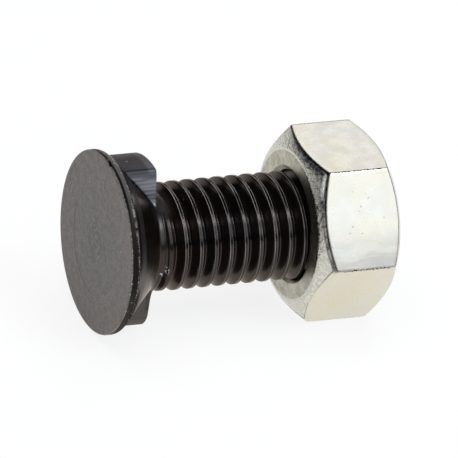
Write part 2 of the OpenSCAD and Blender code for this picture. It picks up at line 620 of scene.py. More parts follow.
    def build_skin(self) -> Skin:
        """Builds the whole bolt as one closed surface.

        Returns:
            The skin of the bolt in own millimetres.
        """
        angles = self.column_angles()
        head, head_marks, head_zones = self.head_grid(angles)
        rows, row_marks = self.crest_rows()
        crest = self.crest_height(angles)
        points = [np.array([[0.0, 0.0, self.face_dish]]), head.reshape(-1, 3)]
        marks = [np.zeros(1), head_marks.ravel()]
        count = 1 + head_marks.size
        chains: list[dict[int, int]] = []
        start_key, end_key = -(10**6), 10**6
        neck_ring = count - self.columns
        turns = math.ceil(self.bolt_len / self.pitch) + self.lead_turns
        keys = np.arange(-self.lead_turns * len(rows), turns * len(rows))
        closest = 0.03
        for column, angle in enumerate(angles):
            heights = crest[column] + keys // len(rows) * self.pitch + rows[keys % len(rows)]
            kept = (heights > self.neck_end + closest) & (heights < self.bolt_len - closest)
            ring_z = np.append(heights[kept], self.bolt_len)
            radius = self.thread_radius(np.full_like(ring_z, angle), ring_z)
            points.append(np.stack([radius * math.cos(angle), radius * math.sin(angle), ring_z], 1))
            grown = within((ring_z[:-1] - self.neck_end) / self.pitch)
            marks.append(np.append(row_marks[keys[kept] % len(rows)] * grown, self.end_wear))
            chain = {start_key: neck_ring + column}
            chain.update({int(key): count + place for place, key in enumerate(keys[kept])})
            chain[end_key] = count + len(ring_z) - 1
            count += len(ring_z)
            chains.append(chain)
        faces = self.head_faces(head.shape[0])
        for column in range(self.columns):
            last = column == self.columns - 1
            after = {
                key - (len(rows) if last and abs(key) != end_key else 0): point
                for key, point in chains[(column + 1) % self.columns].items()
            }
            faces += zip_chains(chains[column], after)
        cap, cap_faces = self.end_cap([chain[end_key] for chain in chains], np.concatenate(points), count)
        points.append(cap)
        marks.append(np.zeros(len(cap)))
        edge = np.concatenate(marks)
        zone = np.zeros_like(edge)
        zone[1 : 1 + head_zones.size] = head_zones.ravel()
        return Skin(np.concatenate(points), edge, zone, faces + cap_faces)

    def rings(self, first: int, count: int) -> list[range]:
        """Rings of points that follow each other from a first point."""
        return [range(first + row * self.columns, first + (row + 1) * self.columns) for row in range(count)]

    def head_faces(self, row_count: int) -> Faces:
        """Faces of the head: a fan at its centre, then rows of four-sided faces.

        Args:
            row_count: Number of rows from the face to the end of the neck.

        Returns:
            The faces.
        """
        rings = self.rings(1, row_count)
        faces: Faces = [(0, after, before) for before, after in pairs(rings[0])]
        for low, high in zip(rings[:-1], rings[1:]):
            faces += strip(low, high)
        return faces

    def end_cap(self, ring: list[int], points: np.ndarray, first: int) -> tuple[np.ndarray, Faces]:
        """Closes the end of the bolt with rings that shrink to a point.

        Args:
            ring: Points of the last ring, in column order.
            points: All points made so far.
            first: Index of the next point.

        Returns:
            New points, and the faces of the cap.
        """
        shrunk = [points[ring] * np.array([share, share, 1.0]) for share in self.cap_shares]
        centre = np.array([[0.0, 0.0, self.bolt_len]])
        loops = [ring, *self.rings(first, len(self.cap_shares))]
        middle = first + len(self.cap_shares) * self.columns
        faces: Faces = [(before, after, middle) for before, after in pairs(loops[-1])]
        for low, high in zip(loops[:-1], loops[1:]):
            faces += strip(low, high)
        return np.concatenate([*shrunk, centre]), faces

    def build(self, place: Matrix) -> bpy.types.Object:
        """Makes the bolt and hands it to its body."""
        piece = self.build_skin().to_object("bolt_body", place)
        return attach(piece, Body.BOLT, "plow_bolt")


@dataclass
class HexNut:
    """The plain hexagon nut, bevelled at both ends, in mm and degrees.

    Rows of values run along the half section: bore, mouth, bearing face, flats, rear face and mouth.
    """

    nut_af: float = 18.7
    nut_h: float = 9.7
    nut_at: float = 22.46
    sides: int = 6
    bearing_d: float = 16.8
    bevel_slope: float = 30.0
    mouth_d: float = 13.0
    bore_d: float = 12.01
    corner_round: float = 0.3
    corner_wear: float = 1.5
    edge_cut: float = 0.12
    shoulder_cut: float = 0.32
    rear_cut: float = 0.16
    mouth_cut: float = 0.08
    bore_cut: float = 0.06
    columns_per_flat: int = 28
    bend_rows: int = 5
    straight_rows: tuple[int, ...] = (3, 5, 7, 14, 7, 5, 3, 8)
    zones: tuple[float, ...] = (0.5, 0.5, 1.0, 0.0, 0.0, 0.5, 0.5, 0.5)
    edge_marks: tuple[float, ...] = (0.5, 0.7, 0.2, 0.0, 0.8, 1.0, 0.7, 0.5)
    flats_place: int = 3
    rear_place: int = 4
    worn_flat: float = 240.0

    @property
    def half_flat(self) -> float:
        """Half of the angle that one flat takes up, in radians."""
        return math.pi / self.sides

    def flat_radius(self) -> tuple[np.ndarray, np.ndarray, np.ndarray]:
        """Outline of the hexagon, with its corners rounded.

        Returns:
            Column angles in radians, the radius at each, and the edge mark at each.
        """
        half, across = self.half_flat, self.nut_af / 2
        quarter = math.pi / 2
        sweep = half * np.sin(np.linspace(-quarter, quarter, self.columns_per_flat, endpoint=False))
        from_corner = half - np.abs(sweep)
        centre = (across - self.corner_round) / math.cos(half)
        inside = self.corner_round**2 - (centre * np.sin(from_corner)) ** 2
        rounded = centre * np.cos(from_corner) + np.sqrt(np.clip(inside, 0.0, None))
        tangent = math.atan2(self.corner_round * math.sin(half), centre + self.corner_round * math.cos(half))
        radius = np.where(from_corner < tangent, rounded, across / np.cos(sweep))
        mark = np.exp(-((from_corner / (self.corner_wear * tangent)) ** 2))
        turns = 2 * half * np.arange(self.sides)
        angles = (turns[:, None] + sweep[None, :]).ravel()
        return angles, np.tile(radius, self.sides), np.tile(mark, self.sides)

    def section(self, radius: np.ndarray) -> list[tuple[np.ndarray, float, int]]:
        """Corners of the half section at each column.

        Args:
            radius: Radius of the hexagon at each column.

        Returns:
            For each corner its radius and height, how far its edge is cut back, and the number
            of rows on the way to the next corner.
        """
        level = np.ones_like(radius)
        bore, mouth, bearing = (width / 2 * level for width in (self.bore_d, self.mouth_d, self.bearing_d))
        sink = mouth - bore
        rise = (radius - bearing) * math.tan(math.radians(self.bevel_slope))
        front, back = 0.0 * level, self.nut_h * level
        spots = (
            (bore, sink, self.bore_cut),
            (mouth, front, self.mouth_cut),
            (bearing, front, self.edge_cut),
            (radius, rise, self.shoulder_cut),
            (radius, back - rise, self.rear_cut),
            (bearing, back, self.edge_cut),
            (mouth, back, self.mouth_cut),
            (bore, back - sink, self.bore_cut),
        )
        return [(np.stack([r, z], -1), cut, rows) for (r, z, cut), rows in zip(spots, self.straight_rows)]

    def build_skin(self) -> Skin:
        """Builds the nut as one closed surface.

        Returns:
            The skin of the nut in own millimetres.
        """
        angles, radius, corner_mark = self.flat_radius()
        corners = self.section(radius)
        whole = np.ones_like(angles)
        worn = 1.0 * (np.cos(angles - math.radians(self.worn_flat)) > math.cos(self.half_flat))
        rows: list[np.ndarray] = []
        marks: list[np.ndarray] = []
        zones: list[np.ndarray] = []
        for place, (spot, cut, steps) in enumerate(corners):
            before, _, _ = corners[place - 1]
            after, after_cut, _ = corners[(place + 1) % len(corners)]
            start = spot + cut * unit(before - spot)
            end = spot + cut * unit(after - spot)
            bend_mark = self.edge_marks[place] * (worn if place == self.rear_place else whole)
            for share in np.linspace(0.0, 1.0, self.bend_rows):
                rows.append((1 - share) ** 2 * start + 2 * share * (1 - share) * spot + share**2 * end)
                marks.append(math.sin(math.pi * share) * bend_mark)
            goal = after + after_cut * unit(spot - after)
            for share in np.linspace(0.0, 1.0, steps + 2)[1:-1]:
                rows.append(end + share * (goal - end))
                marks.append(corner_mark * (place == self.flats_place))
            zones += [self.zones[place] * whole] * (self.bend_rows + steps)
        points = swept(np.stack(rows), angles, self.nut_at)
        size = len(angles)
        rings = [range(row * size, (row + 1) * size) for row in range(len(rows))]
        faces = [face for low, high in pairs(rings) for face in strip(low, high)]
        return Skin(points.reshape(-1, 3), np.concatenate(marks), np.concatenate(zones), faces)

    def build(self, place: Matrix) -> bpy.types.Object:
        """Makes the nut and hands it to its body."""
        piece = self.build_skin().to_object("nut_body", place)
        return attach(piece, Body.NUT, "hex_nut")


def attach(piece: bpy.types.Object, body: Body, node: str) -> bpy.types.Object:
    """Lets a piece ride on its body in place of a node.

    Args:
        piece: The new piece.
        body: Body that carries it.
        node: Node that it stands for.

    Returns:
        The same piece.
    """
    even = piece.modifiers.new("even_normals", "WEIGHTED_NORMAL")
    even.keep_sharp = True
    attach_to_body(piece, body.value)
    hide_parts(node)
    return piece


class Graph:
    """Adds nodes to a shader tree and joins their sockets."""

    def __init__(self, tree: bpy.types.NodeTree) -> None:
        """Keeps the tree."""
        self.tree = tree

    def join(self, value: object, socket: Socket) -> None:
        """Joins a socket to an input, or sets a plain value on it.

        Args:
            value: Socket or plain value.
            socket: The input.
        """
        if isinstance(value, Socket):
            self.tree.links.new(value, socket)
        else:
            socket.default_value = value

    def add(self, kind: str, inputs: dict | None = None, **settings: object) -> bpy.types.Node:
        """Adds one node.

        Args:
            kind: Type of the node.
            inputs: Input sockets by name or number, each with a value or the socket to join to it.
            **settings: Other properties of the node.

        Returns:
            The new node.
        """
        node = self.tree.nodes.new(kind)
        for name, value in settings.items():
            setattr(node, name, value)
        for key, value in (inputs or {}).items():
            self.join(value, node.inputs[key])
        return node

    def of(self, operation: str, *values: Value) -> Socket:
        """Result of one operation on one or two values."""
        return self.add("ShaderNodeMath", dict(enumerate(values)), operation=operation).outputs[0]

    def chain(self, operation: str, *values: Value) -> Socket:
        """Takes values through one operation, two at a time from the left.

        Args:
            operation: Name of the operation.
            *values: Two or more values.

        Returns:
            The result.
        """
        result, *others = values
        for other in others:
            result = self.of(operation, result, other)
        return result

    def times(self, *values: Value) -> Socket:
        """Product of the values."""
        return self.chain("MULTIPLY", *values)

    def plus(self, *values: Value) -> Socket:
        """Sum of the values."""
        return self.chain("ADD", *values)

    def minus(self, *values: Value) -> Socket:
        """The first value less all others."""
        return self.chain("SUBTRACT", *values)

    def most(self, *values: Value) -> Socket:
        """The greatest of the values."""
        return self.chain("MAXIMUM", *values)

    def rest(self, share: Value) -> Socket:
        """What a share leaves of the whole."""
        return self.of("SUBTRACT", 1.0, share)

    def vector(self, operation: str, a: Socket, b: Socket | Point = (0.0, 0.0, 0.0)) -> Socket:
        """Result of one operation on vectors: a value where it gives one, and otherwise a vector."""
        node = self.add("ShaderNodeVectorMath", {0: a, 1: b}, operation=operation)
        return node.outputs["Value" if operation in ("DISTANCE", "DOT_PRODUCT", "LENGTH") else "Vector"]

    def combined(self, x: Value, y: Value, z: Value = 0.0) -> Socket:
        """Vector of three values."""
        return self.add("ShaderNodeCombineXYZ", {"X": x, "Y": y, "Z": z}).outputs[0]

    def scaled(self, vector: Socket, size: Value | tuple[Value, Value, Value]) -> Socket:
        """A position counted in steps of a size, which may differ along each axis."""
        sizes = size if isinstance(size, tuple) else (size, size, size)
        return self.vector("DIVIDE", vector, self.combined(*sizes))

    def noise(self, vector: Socket, detail: float, roughness: float) -> Socket:
        """Noise with features about one step wide."""
        inputs = {"Vector": vector, "Scale": 1.0, "Detail": detail, "Roughness": roughness}
        return self.add("ShaderNodeTexNoise", inputs).outputs[0]

    def ease(self, value: Value, low: Value, high: Value) -> Socket:
        """Rises smoothly from 0 at a low value to 1 at a high one."""
        inputs = {"Value": value, "From Min": low, "From Max": high}
        return self.add("ShaderNodeMapRange", inputs, interpolation_type="SMOOTHSTEP").outputs[0]

    def lerp(self, share: Value, a: Value, b: Value) -> Socket:
        """Mixes two values."""
        return self.add("ShaderNodeMix", {0: share, 2: a, 3: b}, data_type="FLOAT").outputs[0]

    def blend(self, share: Value, a: Socket | Colour, b: Socket | Colour) -> Socket:
        """Mixes two colours."""
        first, second = (side if isinstance(side, Socket) else (*side, 1.0) for side in (a, b))
        return self.add("ShaderNodeMix", {0: share, 6: first, 7: second}, data_type="RGBA").outputs[2]


class EffectLibrary:
    """Builds each shared surface effect once, as a shader node group."""

    def __init__(self) -> None:
        """Starts with no groups."""
        self.groups: dict[Effect, bpy.types.NodeTree] = {}

    def place(self, graph: Graph, effect: Effect, inputs: dict[str, Value]) -> bpy.types.Node:
        """Puts an effect into a material.

        Args:
            graph: Graph of the material.
            effect: Which effect.
            inputs: Its inputs by name, as values or sockets.

        Returns:
            The group node.
        """
        if effect not in self.groups:
            makers = {
                Effect.GRAIN: self.make_grain,
                Effect.EDGE_WEAR: self.make_edge_wear,
                Effect.SPECKS: self.make_specks,
                Effect.RINGS: self.make_rings,
                Effect.STREAKS: self.make_streaks,
            }
            self.groups[effect] = makers[effect](effect.value)
        return graph.add("ShaderNodeGroup", inputs, node_tree=self.groups[effect])

    @staticmethod
    def start(name: str, values: list[str], results: list[str]) -> tuple[Graph, Socket, list[Socket]]:
        """Starts a group that is given a position and some values.

        Args:
            name: Name of the group.
            values: Names of the values that it is given.
            results: Names of the values that it puts out.

        Returns:
            The graph, the socket of the position, and the sockets of the values.
        """
        tree = bpy.data.node_groups.new(name, "ShaderNodeTree")
        tree.interface.new_socket("Position", in_out="INPUT", socket_type="NodeSocketVector")
        for way, names in (("INPUT", values), ("OUTPUT", results)):
            for socket in names:
                tree.interface.new_socket(socket, in_out=way, socket_type="NodeSocketFloat")
        graph = Graph(tree)
        given = graph.add("NodeGroupInput").outputs
        return graph, given["Position"], [given[value] for value in values]

    @staticmethod
    def close(graph: Graph, **results: Socket) -> bpy.types.NodeTree:
        """Joins the results of a group to its outputs."""
        graph.add("NodeGroupOutput", results)
        return graph.tree

    def make_grain(self, name: str) -> bpy.types.NodeTree:
        """Fine grain of a metal surface, with slow patches of tone.

        Args:
            name: Name of the group.

        Returns:
            The group.
        """
        patch_ratio = 14.0
        graph, position, (size,) = self.start(name, ["Size"], ["Height", "Tone"])
        fine = graph.noise(graph.scaled(position, size), detail=4.0, roughness=0.6)
        patches = graph.scaled(position, graph.times(size, patch_ratio))
        slow = graph.noise(patches, detail=3.0, roughness=0.55)
        return self.close(graph, Height=fine, Tone=graph.ease(slow, low=0.3, high=0.7))

    def make_edge_wear(self, name: str) -> bpy.types.NodeTree:
        """Chips along the marked edges, broken up by noise.

        Args:
            name: Name of the group.

        Returns:
            The group.
        """
        edge_lift, ceiling, blur = 0.5, 1.25, 0.1
        graph, position, (edge, chip, amount) = self.start(name, ["Edge", "Chip", "Amount"], ["Mask"])
        broken = graph.noise(graph.scaled(position, chip), detail=3.0, roughness=0.65)
        lifted = graph.plus(graph.times(edge, edge_lift), broken)
        floor = graph.minus(ceiling, amount)
        return self.close(graph, Mask=graph.ease(lifted, floor, graph.plus(floor, blur)))

    def make_specks(self, name: str) -> bpy.types.NodeTree:
        """Small scattered spots.

        Args:
            name: Name of the group.

        Returns:
            The group.
        """
        core = 0.5
        names = ["Spacing", "Radius", "Share"]
        graph, position, (spacing, radius, share) = self.start(name, names, ["Mask"])
        cells = {"Vector": graph.scaled(position, spacing), "Scale": 1.0}
        spots = graph.add("ShaderNodeTexVoronoi", cells).outputs
        dot = graph.rest(graph.ease(spots["Distance"], graph.times(radius, core), radius))
        pick = graph.add("ShaderNodeSeparateColor", {0: spots["Color"]}).outputs[0]
        return self.close(graph, Mask=graph.times(dot, graph.of("LESS_THAN", pick, share)))

    def make_rings(self, name: str) -> bpy.types.NodeTree:
        """Faint rings round the axis and a small swirl at the centre, as a tool leaves them on a face.

        Args:
            name: Name of the group.

        Returns:
            The group.
        """
        winding, swirl_depth, eye = 2.0, 0.2, 0.4
        results = ["Height", "Radius", "Angle"]
        graph, position, (spacing, swirl) = self.start(name, ["Spacing", "Swirl"], results)
        x, y, _ = graph.add("ShaderNodeSeparateXYZ", {0: position}).outputs
        angle = graph.of("ARCTAN2", y, x)
        radius = graph.vector("LENGTH", graph.combined(x, y))
        along = graph.of("DIVIDE", radius, spacing)
        lookup = graph.combined(along, graph.of("COSINE", angle), graph.of("SINE", angle))
        rings = graph.noise(lookup, detail=2.0, roughness=0.6)
        wound = graph.of("SINE", graph.minus(graph.times(along, winding), angle))
        swirled = graph.times(wound, swirl_depth, graph.rest(graph.ease(radius, eye, swirl)))
        return self.close(graph, Height=graph.plus(rings, swirled), Radius=radius, Angle=angle)

    def make_streaks(self, name: str) -> bpy.types.NodeTree:
        """Scrapes that run along the axis.

        Args:
            name: Name of the group.

        Returns:
            The group.
        """
        graph, position, (width, length) = self.start(name, ["Width", "Length"], ["Mask"])
        drawn = graph.noise(graph.scaled(position, (width, width, length)), detail=3.0, roughness=0.6)
        return self.close(graph, Mask=graph.ease(drawn, low=0.36, high=0.62))


class Surface:
    """A new material with the sockets that its finish starts from."""

    def __init__(self, name: str, effects: EffectLibrary) -> None:
        """Starts the material and reads own position and marks.

        Args:
            name: Name of the finish.
            effects: Shared surface effects.
        """
        self.finish = bpy.data.materials.new(name)
        self.finish.use_nodes = True
        self.effects = effects
        self.graph = Graph(self.finish.node_tree)
        self.position, self.edge, self.zone = (
            self.graph.add("ShaderNodeAttribute", attribute_name=mark).outputs[kind]
            for mark, kind in ((POSITION, "Vector"), (EDGE, "Fac"), (ZONE, "Fac"))
        )
        parts = self.graph.add("ShaderNodeSeparateXYZ", {0: self.position}).outputs
        self.sideways, self.across, self.height = parts

    def effect(self, effect: Effect, **values: Value) -> dict[str, Socket]:
        """Outputs by name of a shared effect at the own position."""
        node = self.effects.place(self.graph, effect, {"Position": self.position, **values})
        return {socket.name: socket for socket in node.outputs}

    def close(self, relief: Socket, bump_mm: float, results: dict[str, object]) -> bpy.types.Material:
        """Joins what was worked out to the shader.

        Args:
            relief: Height of the surface, counted in steps of the bump.
            bump_mm: Size of one step, in mm.
            results: Sockets and plain values by the name of the shader's input.

        Returns:
            The material.
        """
        inputs = {"Strength": 1.0, "Distance": bump_mm * MM, "Height": relief}
        bump = self.graph.add("ShaderNodeBump", inputs).outputs[0]
        shader = self.finish.node_tree.nodes["Principled BSDF"]
        for name, value in {**results, "Normal": bump}.items():
            self.graph.join(value, shader.inputs[name])
        return self.finish


@dataclass(frozen=True)
class Band:
    """A stretch of a value: the span over which its mask rises and the one over which it falls."""

    rise: Span
    fall: Span

    def mask(self, graph: Graph, value: Socket) -> Socket:
        """One between the two slopes and nothing outside."""
        return graph.minus(graph.ease(value, *self.rise), graph.ease(value, *self.fall))


@dataclass(frozen=True)
class Mottle:
    """Patches: their size in mm, the detail and roughness of their noise, and the span that cuts it."""

    size: float | Point
    detail: float
    roughness: float
    cut: Span

    def mask(self, surface: Surface) -> Socket:
        """One on the patches and nothing between them."""
        steps = surface.graph.scaled(surface.position, self.size)
        return surface.graph.ease(surface.graph.noise(steps, self.detail, self.roughness), *self.cut)


@dataclass(frozen=True)
class Specks:
    """Scattered spots: their spacing in mm, their radius as a share of it, and the share that is kept."""

    spacing: float
    radius: float
    share: float

    def mask(self, surface: Surface) -> Socket:
        """One on the spots."""
        sizes = {"Spacing": self.spacing, "Radius": self.radius, "Share": self.share}
        return surface.effect(Effect.SPECKS, **sizes)["Mask"]


@dataclass(frozen=True)
class Streaks:
    """Scrapes along the axis: their width and length in mm."""

    width: float
    length: float

    def mask(self, surface: Surface) -> Socket:
        """One on the scrapes."""
        return surface.effect(Effect.STREAKS, Width=self.width, Length=self.length)["Mask"]


@dataclass(frozen=True)
class BoltZones:
    """Masks of the places on the bolt that each have their own wear, painted shade and painted light."""

    face: Socket
    past_rim: Socket
    wall: Socket
    rim: Socket
    lower: Socket
    nib_end: Socket
    fillet: Socket
    cone: Socket
    low_cone: Socket
    behind: Socket
    crests: Socket


@dataclass(frozen=True)
class BlackOxide:
    """Black oxide on forged steel: dull grey struck face, scraped nib flanks, bare metal at chipped edges.

    Bands are heights from the flat of the head, and sides are places across the bolt, all in mm.
    """

    black: Colour = (0.040, 0.036, 0.034)
    brown: Colour = (0.050, 0.041, 0.036)
    rust: Colour = (0.085, 0.045, 0.040)
    rust_share: float = 0.35
    face_grey: Colour = (0.172, 0.158, 0.142)
    face_brown: Colour = (0.184, 0.160, 0.141)
    face_mark: Colour = (0.050, 0.045, 0.041)
    # Scraped colour as two lit copies, a painted reflection: cool for the upper side and warm for the lower
    # side, which faces the table.
    scraped: Colour = (0.20, 0.205, 0.24)
    scraped_lower_sheen: Colour = (0.26, 0.235, 0.215)
    bare: Colour = (0.45, 0.43, 0.40)
    warm_sheen: Colour = (0.82, 0.755, 0.70)
    # Lighter grey for the upper side of the rim wall, painted light there, and for the upper side of the
    # neck.
    lift_grey: Colour = (0.085, 0.080, 0.076)
    # Painted shade: near black laid on the rim wall, the upper cone and behind the lower rim to darken their
    # reflections.
    shade_black: Colour = (0.010, 0.009, 0.008)
    face_band: Span = (0.06, 0.12)
    past_rim_band: Span = (1.2, 1.8)
    crests_band: Span = (6.0, 7.0)
    wall_band: Band = Band((0.1, 0.2), (0.7, 1.1))
    rim_band: Band = Band((0.05, 0.2), (0.9, 1.6))
    behind_band: Band = Band((0.6, 0.8), (1.4, 1.7))
    cone_band: Band = Band((1.0, 1.6), (4.6, 5.2))
    low_cone_band: Band = Band((1.4, 1.8), (4.8, 5.2))
    fillet_band: Band = Band((4.2, 4.7), (5.3, 5.6))
    neck_band: Band = Band((5.2, 5.6), (7.0, 7.6))
    rust_band: Band = Band((6.9, 7.3), (8.6, 9.0))
    nib_end_band: Span = (1.2, 1.6)
    nib_end_reach: Span = (8.4, 8.9)
    lower_side: Span = (-0.3, 1.8)
    cone_side: Span = (-0.5, -4.5)
    fillet_side: Span = (-4.1, -4.9)
    neck_side: Span = (-3.4, -5.0)
    rim_side: Span = (-6.2, -9.4)
    ring_mm: float = 6.2
    ring_way: float = 0.95
    ring_line: Span = (0.22, 0.03)
    ring_turn: Span = (0.35, 0.9)
    ring_share: float = 0.8
    disc_edge: Span = (6.5, 5.4)
    tool_mm: float = 0.28
    swirl_mm: float = 2.2
    swirl_cut: Span = (0.6, 0.38)
    swirl_fade: Span = (1.2, 4.5)
    swirl_share: Span = (0.45, 0.1)
    blotches: Mottle = Mottle(0.9, 4.0, 0.7, (0.62, 0.36))
    blotch_share: float = 0.36
    freckles: Mottle = Mottle(0.24, 2.0, 0.6, (0.66, 0.36))
    freckle_share: float = 0.44
    scrapes: Streaks = Streaks(0.3, 4.0)
    scrape_share: Span = (0.45, 1.0)
    scrape_gaps: Streaks = Streaks(1.3, 9.0)
    gap_share: Span = (0.5, 1.15)
    outer_reach: Span = (6.2, 8.3)
    outer_share: Span = (0.5, 1.25)
    nib_end_rub: float = 0.36
    # Scraped grey on the upper neck hollow, partly scraping and partly a painted highlight.
    fillet_scrape_and_sheen: float = 0.1
    # Painted reflection: share of scraped colour that lightens the lower cone.
    low_cone_sheen: float = 0.2
    # How much painted shade the rim wall, the upper cone and the place behind the lower rim get.
    wall_shade: Span = (0.8, 0.3)
    cone_shade: float = 0.6
    behind_shade: float = 0.7
    # Strength and start of the lighter grey on the rim, and its share on the upper neck.
    rim_lift: float = 0.9
    rim_lift_from: Span = (0.3, 0.45)
    neck_lift: Span = (0.2, 0.4)
    chip_mm: float = 0.2
    chip_amount: Span = (0.26, 0.15)
    stray: Specks = Specks(2.6, 0.045, 0.5)
    knocks: Specks = Specks(0.6, 0.16, 0.3)
    filings: Specks = Specks(0.3, 0.48, 0.8)
    filings_at: Point = (1.0, -5.75, 5.8)
    filings_reach: Span = (0.8, 0.4)
    # Breaks and strength of the painted highlight line on the rim.
    rim_highlight_breaks: Mottle = Mottle(0.8, 3.0, 0.65, (0.42, 0.6))
    rim_highlight_share: Span = (0.9, 0.0)
    lip_edge: Span = (0.8, 1.0)
    lip_tone: Span = (0.35, 1.0)
    # Painted highlight: the crest lips are stronger on the upper side.
    lip_glint_side: Span = (1.5, -3.0)
    lip_glint_share: Span = (0.5, 1.2)
    bare_metal: float = 0.8
    oxide_metal: float = 0.92
    scrape_and_sheen_matt: float = 0.4
    lip_glint_matt: float = 0.75
    lift_matt: float = 0.85
    oxide_rough: Span = (0.16, 0.26)
    face_rough: float = 0.42
    oil: float = 0.06
    wall_dull: float = 0.3
    nib_end_dull: float = 0.7
    behind_dull: float = 0.5
    grain_mm: float = 0.22
    ring_relief: float = 0.6
    knock_mm: float = 0.8
    knock_relief: float = 3.0
    bump_mm: float = 0.012

    def zones(self, surface: Surface, radius: Socket) -> BoltZones:
        """Finds the places on the bolt.

        Args:
            surface: Sockets of the material.
            radius: Distance from the axis, in mm.

        Returns:
            One mask for each place.
        """
        graph, height, sideways = surface.graph, surface.height, surface.sideways
        lower = graph.ease(sideways, *self.lower_side)
        upper_cone = graph.times(graph.ease(sideways, *self.cone_side), graph.rest(surface.zone))
        hollow_top = graph.ease(sideways, *self.fillet_side)
        far_out = graph.ease(radius, *self.nib_end_reach)
        return BoltZones(
            face=graph.rest(graph.ease(height, *self.face_band)),
            past_rim=graph.ease(height, *self.past_rim_band),
            wall=self.wall_band.mask(graph, height),
            rim=self.rim_band.mask(graph, height),
            lower=lower,
            nib_end=graph.times(far_out, graph.ease(height, *self.nib_end_band)),
            fillet=graph.times(self.fillet_band.mask(graph, height), hollow_top),
            cone=graph.times(self.cone_band.mask(graph, height), upper_cone),
            low_cone=graph.times(self.low_cone_band.mask(graph, height), lower),
            behind=graph.times(self.behind_band.mask(graph, height), lower),
            crests=graph.ease(height, *self.crests_band),
        )

    def struck_face(self, surface: Surface, rings: dict[str, Socket]) -> Socket:
        """Colour of the flat face: a greener disc in a browner ring, mottled, with one arc and a swirl.

        Args:
            surface: Sockets of the material.
            rings: Outputs of the rings round the axis.

        Returns:
            The colour.
        """
        graph, radius = surface.graph, rings["Radius"]
        off_ring = graph.of("ABSOLUTE", graph.minus(radius, self.ring_mm))
        turn = graph.of("COSINE", graph.minus(rings["Angle"], self.ring_way))
        line = graph.times(graph.ease(off_ring, *self.ring_line), graph.ease(turn, *self.ring_turn))
        fading = graph.lerp(graph.ease(radius, *self.swirl_fade), *self.swirl_share)
        swirled = graph.times(graph.ease(rings["Height"], *self.swirl_cut), fading)
        shade = graph.plus(
            graph.most(swirled, graph.times(line, self.ring_share)),
            graph.times(self.blotches.mask(surface), self.blotch_share),
            graph.times(self.freckles.mask(surface), self.freckle_share),
        )
        base = graph.blend(graph.ease(radius, *self.disc_edge), self.face_brown, self.face_grey)
        return graph.blend(shade, base, self.face_mark)

    def scrape_and_sheen(self, surface: Surface, zones: BoltZones, radius: Socket, scrapes: Socket) -> Socket:
        """Scraped metal: streaked nib flanks and fainter nib ends; on the upper hollow it is partly a
        painted highlight, and on the lower cone it is a painted reflection.

        Args:
            surface: Sockets of the material.
            zones: Places on the bolt.
            radius: Distance from the axis, in mm.
            scrapes: Mask of the scrapes.

        Returns:
            The share of scraped metal and of painted light.
        """
        graph = surface.graph
        flanks = graph.times(
            surface.zone,
            graph.lerp(scrapes, *self.scrape_share),
            graph.lerp(self.scrape_gaps.mask(surface), *self.gap_share),
            zones.past_rim,
            graph.lerp(graph.ease(radius, *self.outer_reach), *self.outer_share),
        )
        return graph.most(
            flanks,
            graph.times(zones.nib_end, self.nib_end_rub),
            # Upper neck hollow: partly scraping, partly a painted highlight.
            graph.times(zones.fillet, self.fillet_scrape_and_sheen),
            # Painted reflection that lightens the lower cone.
            graph.times(zones.low_cone, self.low_cone_sheen),
        )

    def painted_shade(self, surface: Surface, zones: BoltZones) -> Socket:
        """Painted shade: near black on the wall of the rim, on the upper cone and behind the lower rim,
        which darkens their reflections.

        Args:
            surface: Sockets of the material.
            zones: Places on the bolt.

        Returns:
            The share of painted shade.
        """
        graph = surface.graph
        share = graph.most(
            graph.times(zones.wall, graph.lerp(zones.lower, *self.wall_shade)),
            graph.times(zones.cone, self.cone_shade),
            graph.times(zones.behind, self.behind_shade),
        )
        return graph.times(share, graph.rest(graph.most(surface.zone, zones.fillet)))

    def upper_lift(self, surface: Surface, zones: BoltZones, tone: Socket) -> Socket:
        """Lighter grey on the upper side of the rim wall, a painted reflection of the light from above, and
        on the upper side of the neck.

        Args:
            surface: Sockets of the material.
            zones: Places on the bolt.
            tone: Slow patches of the grain.

        Returns:
            The share of the lighter grey.
        """
        graph, height, sideways = surface.graph, surface.height, surface.sideways
        on_rim = graph.times(
            zones.wall,
            graph.ease(sideways, *self.rim_side),
            self.rim_lift,
            graph.ease(height, *self.rim_lift_from),
        )
        on_neck = graph.times(
            self.neck_band.mask(graph, height),
            graph.ease(sideways, *self.neck_side),
            graph.lerp(tone, *self.neck_lift),
        )
        return graph.most(on_rim, on_neck)

    def lips(self, surface: Surface, zones: BoltZones, tone: Socket) -> Socket:
        """Bare lips of the crests, partly wear and partly a painted highlight: stronger on the upper side,
        and made less metallic so that they read as light lines whichever way they face.

        Args:
            surface: Sockets of the material.
            zones: Places on the bolt.
            tone: Slow patches of the grain.

        Returns:
            The share of bare metal and painted highlight.
        """
        graph = surface.graph
        upper = graph.ease(surface.sideways, *self.lip_glint_side)
        return graph.times(
            graph.ease(surface.edge, *self.lip_edge),
            zones.crests,
            graph.lerp(tone, *self.lip_tone),
            graph.lerp(upper, *self.lip_glint_share),
        )

    def bared(self, surface: Surface, zones: BoltZones, lips: Socket) -> Socket:
        """Bare metal: chipped edges, stray spots, knocks on the rim, a painted highlight line on the rim's
        rear rounding, crest lips that are partly a painted highlight, and filings.

        Args:
            surface: Sockets of the material.
            zones: Places on the bolt.
            lips: Bare lips of the crests, partly a painted highlight.

        Returns:
            The share of bare metal.
        """
        graph = surface.graph
        amount = graph.lerp(zones.past_rim, *self.chip_amount)
        chips = surface.effect(Effect.EDGE_WEAR, Edge=surface.edge, Chip=self.chip_mm, Amount=amount)
        away = graph.vector("DISTANCE", surface.position, self.filings_at)
        line = graph.lerp(zones.past_rim, *self.rim_highlight_share)
        return graph.most(
            chips["Mask"],
            self.stray.mask(surface),
            graph.times(zones.rim, self.knocks.mask(surface)),
            # Painted highlight along the rear rounding of the rim.
            graph.times(surface.zone, self.rim_highlight_breaks.mask(surface), line),
            lips,
            graph.times(self.filings.mask(surface), graph.ease(away, *self.filings_reach)),
        )

